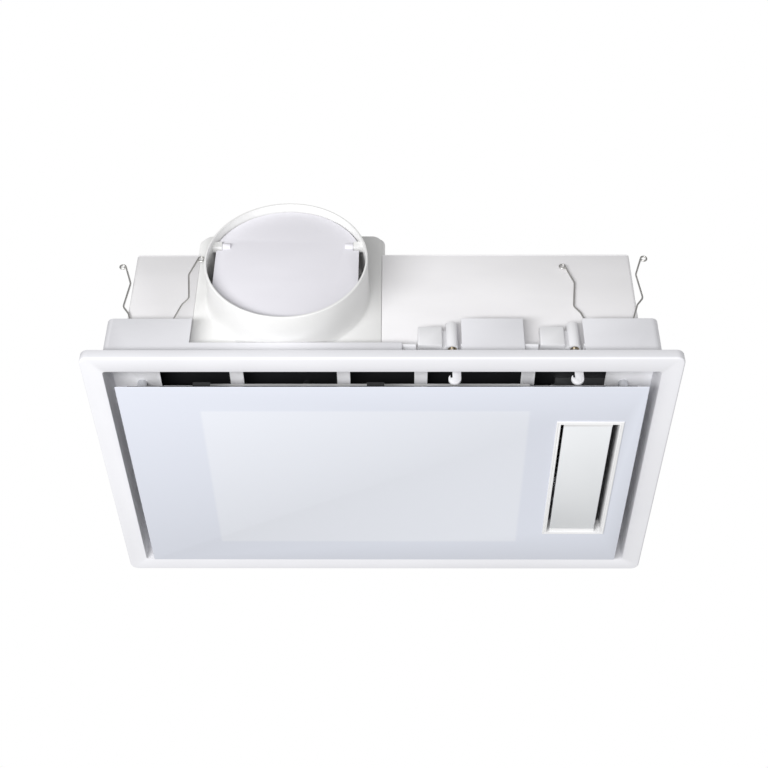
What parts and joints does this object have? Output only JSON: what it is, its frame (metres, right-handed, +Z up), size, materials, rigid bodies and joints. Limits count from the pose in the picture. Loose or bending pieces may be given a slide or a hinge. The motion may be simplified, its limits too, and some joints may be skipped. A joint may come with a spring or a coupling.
{
  "type": "bathroom heater fan light",
  "caption": "Recessed ceiling heater, exhaust fan and light: glass panel in a framed tray, round duct spigot with damper, warm-air outlet with a turning vane, ceiling clamps and springs.",
  "frame": {"origin": "centre of the ceiling cut-out, in the plane of the ceiling's underside, where the bezel's upper rim rests", "axes": "+Z up into the ceiling, +X along the long side, -Y the side the duct spigot leaves from"},
  "size_m": [0.532, 0.3479, 0.1982],
  "materials": {
    "bezel_plastic": "moulded, semi-gloss",
    "base_plastic": "moulded, fine satin",
    "black_plastic": "moulded black",
    "housing_plastic": "moulded, satin",
    "spigot_plastic": "moulded, semi-gloss",
    "flap_plastic": "moulded, satin",
    "scroll_plastic": "moulded black",
    "impeller_plastic": "moulded black",
    "shaft_steel": "ground",
    "motor_steel": "drawn steel can",
    "zinc_sheet": "zinc-coated sheet",
    "rotor_aluminium": "pressed",
    "bush_rubber": "moulded",
    "fin_aluminium": "folded fins",
    "cutout_metal": "pressed cap",
    "frame_plastic": "moulded, semi-gloss",
    "vane_plastic": "moulded, semi-gloss",
    "panel_glass": "polished, white-backed",
    "carrier_sheet": "powder coated white",
    "diffuser_plastic": "opal",
    "board": "white solder mask",
    "brass": "turned",
    "driver_plastic": "moulded",
    "terminal_plastic": "moulded",
    "gland_nylon": "moulded nylon",
    "screw_steel": "zinc plated",
    "clamp_nylon": "moulded nylon",
    "spring_steel": "drawn spring wire"
  },
  "bodies": {
    "casing": {"bezel_tray": "bezel_plastic", "base_plate": "base_plastic", "panel_hooks": "base_plastic", "blower_deck": "black_plastic", "housing_shell": "housing_plastic", "housing_lid": "housing_plastic", "duct_spigot": "spigot_plastic", "exhaust_scroll": "scroll_plastic", "scroll_cover": "scroll_plastic", "inlet_ring": "scroll_plastic", "exhaust_motor": "motor_steel", "heater_scroll": "zinc_sheet", "rotor_bush": "bush_rubber", "heater_motor": "motor_steel", "ptc_element": "fin_aluminium", "thermal_cutout": "cutout_metal", "outlet_duct": "zinc_sheet", "outlet_frame": "frame_plastic", "vane_motor": "motor_steel", "glass_panel": "panel_glass", "panel_carrier": "carrier_sheet", "light_diffuser": "diffuser_plastic", "light_box": "carrier_sheet", "led_board": "board", "panel_standoffs": "brass", "led_driver": "driver_plastic", "control_module": "driver_plastic", "terminal_block": "terminal_plastic", "cable_gland": "gland_nylon", "gland_nut": "gland_nylon", "base_screws": "screw_steel", "spring_pins": "screw_steel"},
    "damper": {"damper_flap": "flap_plastic"},
    "vane": {"outlet_vane": "vane_plastic"},
    "exhaust_fan": {"exhaust_impeller": "impeller_plastic", "exhaust_shaft": "shaft_steel"},
    "heater_fan": {"heater_rotor": "rotor_aluminium", "heater_shaft": "shaft_steel"},
    "clamp_nut_1": {"clamp_insert_1": "brass"},
    "clamp_arm_1": {"clamp_arm_1": "clamp_nylon"},
    "clamp_screw_1": {"clamp_screw_1": "screw_steel"},
    "clamp_nut_2": {"clamp_insert_2": "brass"},
    "clamp_arm_2": {"clamp_arm_2": "clamp_nylon"},
    "clamp_screw_2": {"clamp_screw_2": "screw_steel"},
    "clamp_nut_3": {"clamp_insert_3": "brass"},
    "clamp_arm_3": {"clamp_arm_3": "clamp_nylon"},
    "clamp_screw_3": {"clamp_screw_3": "screw_steel"},
    "clamp_nut_4": {"clamp_insert_4": "brass"},
    "clamp_arm_4": {"clamp_arm_4": "clamp_nylon"},
    "clamp_screw_4": {"clamp_screw_4": "screw_steel"},
    "spring_arm_1": {"spring_arm_1": "spring_steel"},
    "spring_arm_2": {"spring_arm_2": "spring_steel"},
    "spring_arm_3": {"spring_arm_3": "spring_steel"},
    "spring_arm_4": {"spring_arm_4": "spring_steel"},
    "spring_arm_5": {"spring_arm_5": "spring_steel"},
    "spring_arm_6": {"spring_arm_6": "spring_steel"},
    "spring_arm_7": {"spring_arm_7": "spring_steel"},
    "spring_arm_8": {"spring_arm_8": "spring_steel"}
  },
  "joints": [
    {"name": "damper_hinge", "type": "hinge", "parent": "casing", "child": "damper", "pos_m": [-0.088, -0.172, 0.1238], "axis": [-1, 0, 0], "range_deg": [0, 45]},
    {"name": "vane_pivot", "type": "hinge", "parent": "casing", "child": "vane", "pos_m": [0.18815, 0, -0.0075], "axis": [0, 1, 0], "range_deg": [0, 80]},
    {"name": "exhaust_spin", "type": "hinge", "parent": "casing", "child": "exhaust_fan", "pos_m": [-0.152, 0.03, 0.075], "axis": [0, 0, 1], "continuous": true},
    {"name": "heater_spin", "type": "hinge", "parent": "casing", "child": "heater_fan", "pos_m": [0.168, 0, 0.098], "axis": [0, 1, 0], "continuous": true},
    {"name": "clamp_turn_1", "type": "hinge", "parent": "casing", "child": "clamp_screw_1", "pos_m": [0.0632, -0.1435, 0.02], "axis": [0, 0, 1], "range_deg": [0, 4681]},
    {"name": "clamp_travel_1", "type": "slide", "parent": "casing", "child": "clamp_nut_1", "axis": [0, 0, -1], "range_m": [0, 0.0104]},
    {"name": "clamp_swing_1", "type": "hinge", "parent": "clamp_nut_1", "child": "clamp_arm_1", "pos_m": [0.0632, -0.1435, 0.035], "axis": [0, 0, 1], "range_deg": [0, 90]},
    {"name": "clamp_turn_2", "type": "hinge", "parent": "casing", "child": "clamp_screw_2", "pos_m": [0.173, -0.1435, 0.02], "axis": [0, 0, 1], "range_deg": [0, 4681]},
    {"name": "clamp_travel_2", "type": "slide", "parent": "casing", "child": "clamp_nut_2", "axis": [0, 0, -1], "range_m": [0, 0.0104]},
    {"name": "clamp_swing_2", "type": "hinge", "parent": "clamp_nut_2", "child": "clamp_arm_2", "pos_m": [0.173, -0.1435, 0.035], "axis": [0, 0, 1], "range_deg": [0, 90]},
    {"name": "clamp_turn_3", "type": "hinge", "parent": "casing", "child": "clamp_screw_3", "pos_m": [-0.0632, 0.1435, 0.02], "axis": [0, 0, 1], "range_deg": [0, 4681]},
    {"name": "clamp_travel_3", "type": "slide", "parent": "casing", "child": "clamp_nut_3", "axis": [0, 0, -1], "range_m": [0, 0.0104]},
    {"name": "clamp_swing_3", "type": "hinge", "parent": "clamp_nut_3", "child": "clamp_arm_3", "pos_m": [-0.0632, 0.1435, 0.035], "axis": [0, 0, 1], "range_deg": [0, 90]},
    {"name": "clamp_turn_4", "type": "hinge", "parent": "casing", "child": "clamp_screw_4", "pos_m": [-0.173, 0.1435, 0.02], "axis": [0, 0, 1], "range_deg": [0, 4681]},
    {"name": "clamp_travel_4", "type": "slide", "parent": "casing", "child": "clamp_nut_4", "axis": [0, 0, -1], "range_m": [0, 0.0104]},
    {"name": "clamp_swing_4", "type": "hinge", "parent": "clamp_nut_4", "child": "clamp_arm_4", "pos_m": [-0.173, 0.1435, 0.035], "axis": [0, 0, 1], "range_deg": [0, 90]},
    {"name": "spring_squeeze_1", "type": "hinge", "parent": "casing", "child": "spring_arm_1", "pos_m": [-0.21, -0.14255, 0.03], "axis": [0, -1, 0], "range_deg": [0, 15], "stiffness_Nm_per_rad": 0.5},
    {"name": "spring_squeeze_2", "type": "hinge", "parent": "casing", "child": "spring_arm_2", "pos_m": [-0.21, -0.14255, 0.03], "axis": [0, 1, 0], "range_deg": [0, 15], "stiffness_Nm_per_rad": 0.5},
    {"name": "spring_squeeze_3", "type": "hinge", "parent": "casing", "child": "spring_arm_3", "pos_m": [0.209, -0.14255, 0.03], "axis": [0, -1, 0], "range_deg": [0, 15], "stiffness_Nm_per_rad": 0.5},
    {"name": "spring_squeeze_4", "type": "hinge", "parent": "casing", "child": "spring_arm_4", "pos_m": [0.209, -0.14255, 0.03], "axis": [0, 1, 0], "range_deg": [0, 15], "stiffness_Nm_per_rad": 0.5},
    {"name": "spring_squeeze_5", "type": "hinge", "parent": "casing", "child": "spring_arm_5", "pos_m": [0.21, 0.14255, 0.03], "axis": [0, 1, 0], "range_deg": [0, 15], "stiffness_Nm_per_rad": 0.5},
    {"name": "spring_squeeze_6", "type": "hinge", "parent": "casing", "child": "spring_arm_6", "pos_m": [0.21, 0.14255, 0.03], "axis": [0, -1, 0], "range_deg": [0, 15], "stiffness_Nm_per_rad": 0.5},
    {"name": "spring_squeeze_7", "type": "hinge", "parent": "casing", "child": "spring_arm_7", "pos_m": [-0.209, 0.14255, 0.03], "axis": [0, 1, 0], "range_deg": [0, 15], "stiffness_Nm_per_rad": 0.5},
    {"name": "spring_squeeze_8", "type": "hinge", "parent": "casing", "child": "spring_arm_8", "pos_m": [-0.209, 0.14255, 0.03], "axis": [0, -1, 0], "range_deg": [0, 15], "stiffness_Nm_per_rad": 0.5}
  ],
  "couplings": [
    {"joint": "clamp_turn_1", "follows": "clamp_travel_1", "rad_per_m": 7854},
    {"joint": "clamp_turn_2", "follows": "clamp_travel_2", "rad_per_m": 7854},
    {"joint": "clamp_turn_3", "follows": "clamp_travel_3", "rad_per_m": 7854},
    {"joint": "clamp_turn_4", "follows": "clamp_travel_4", "rad_per_m": 7854}
  ]
}
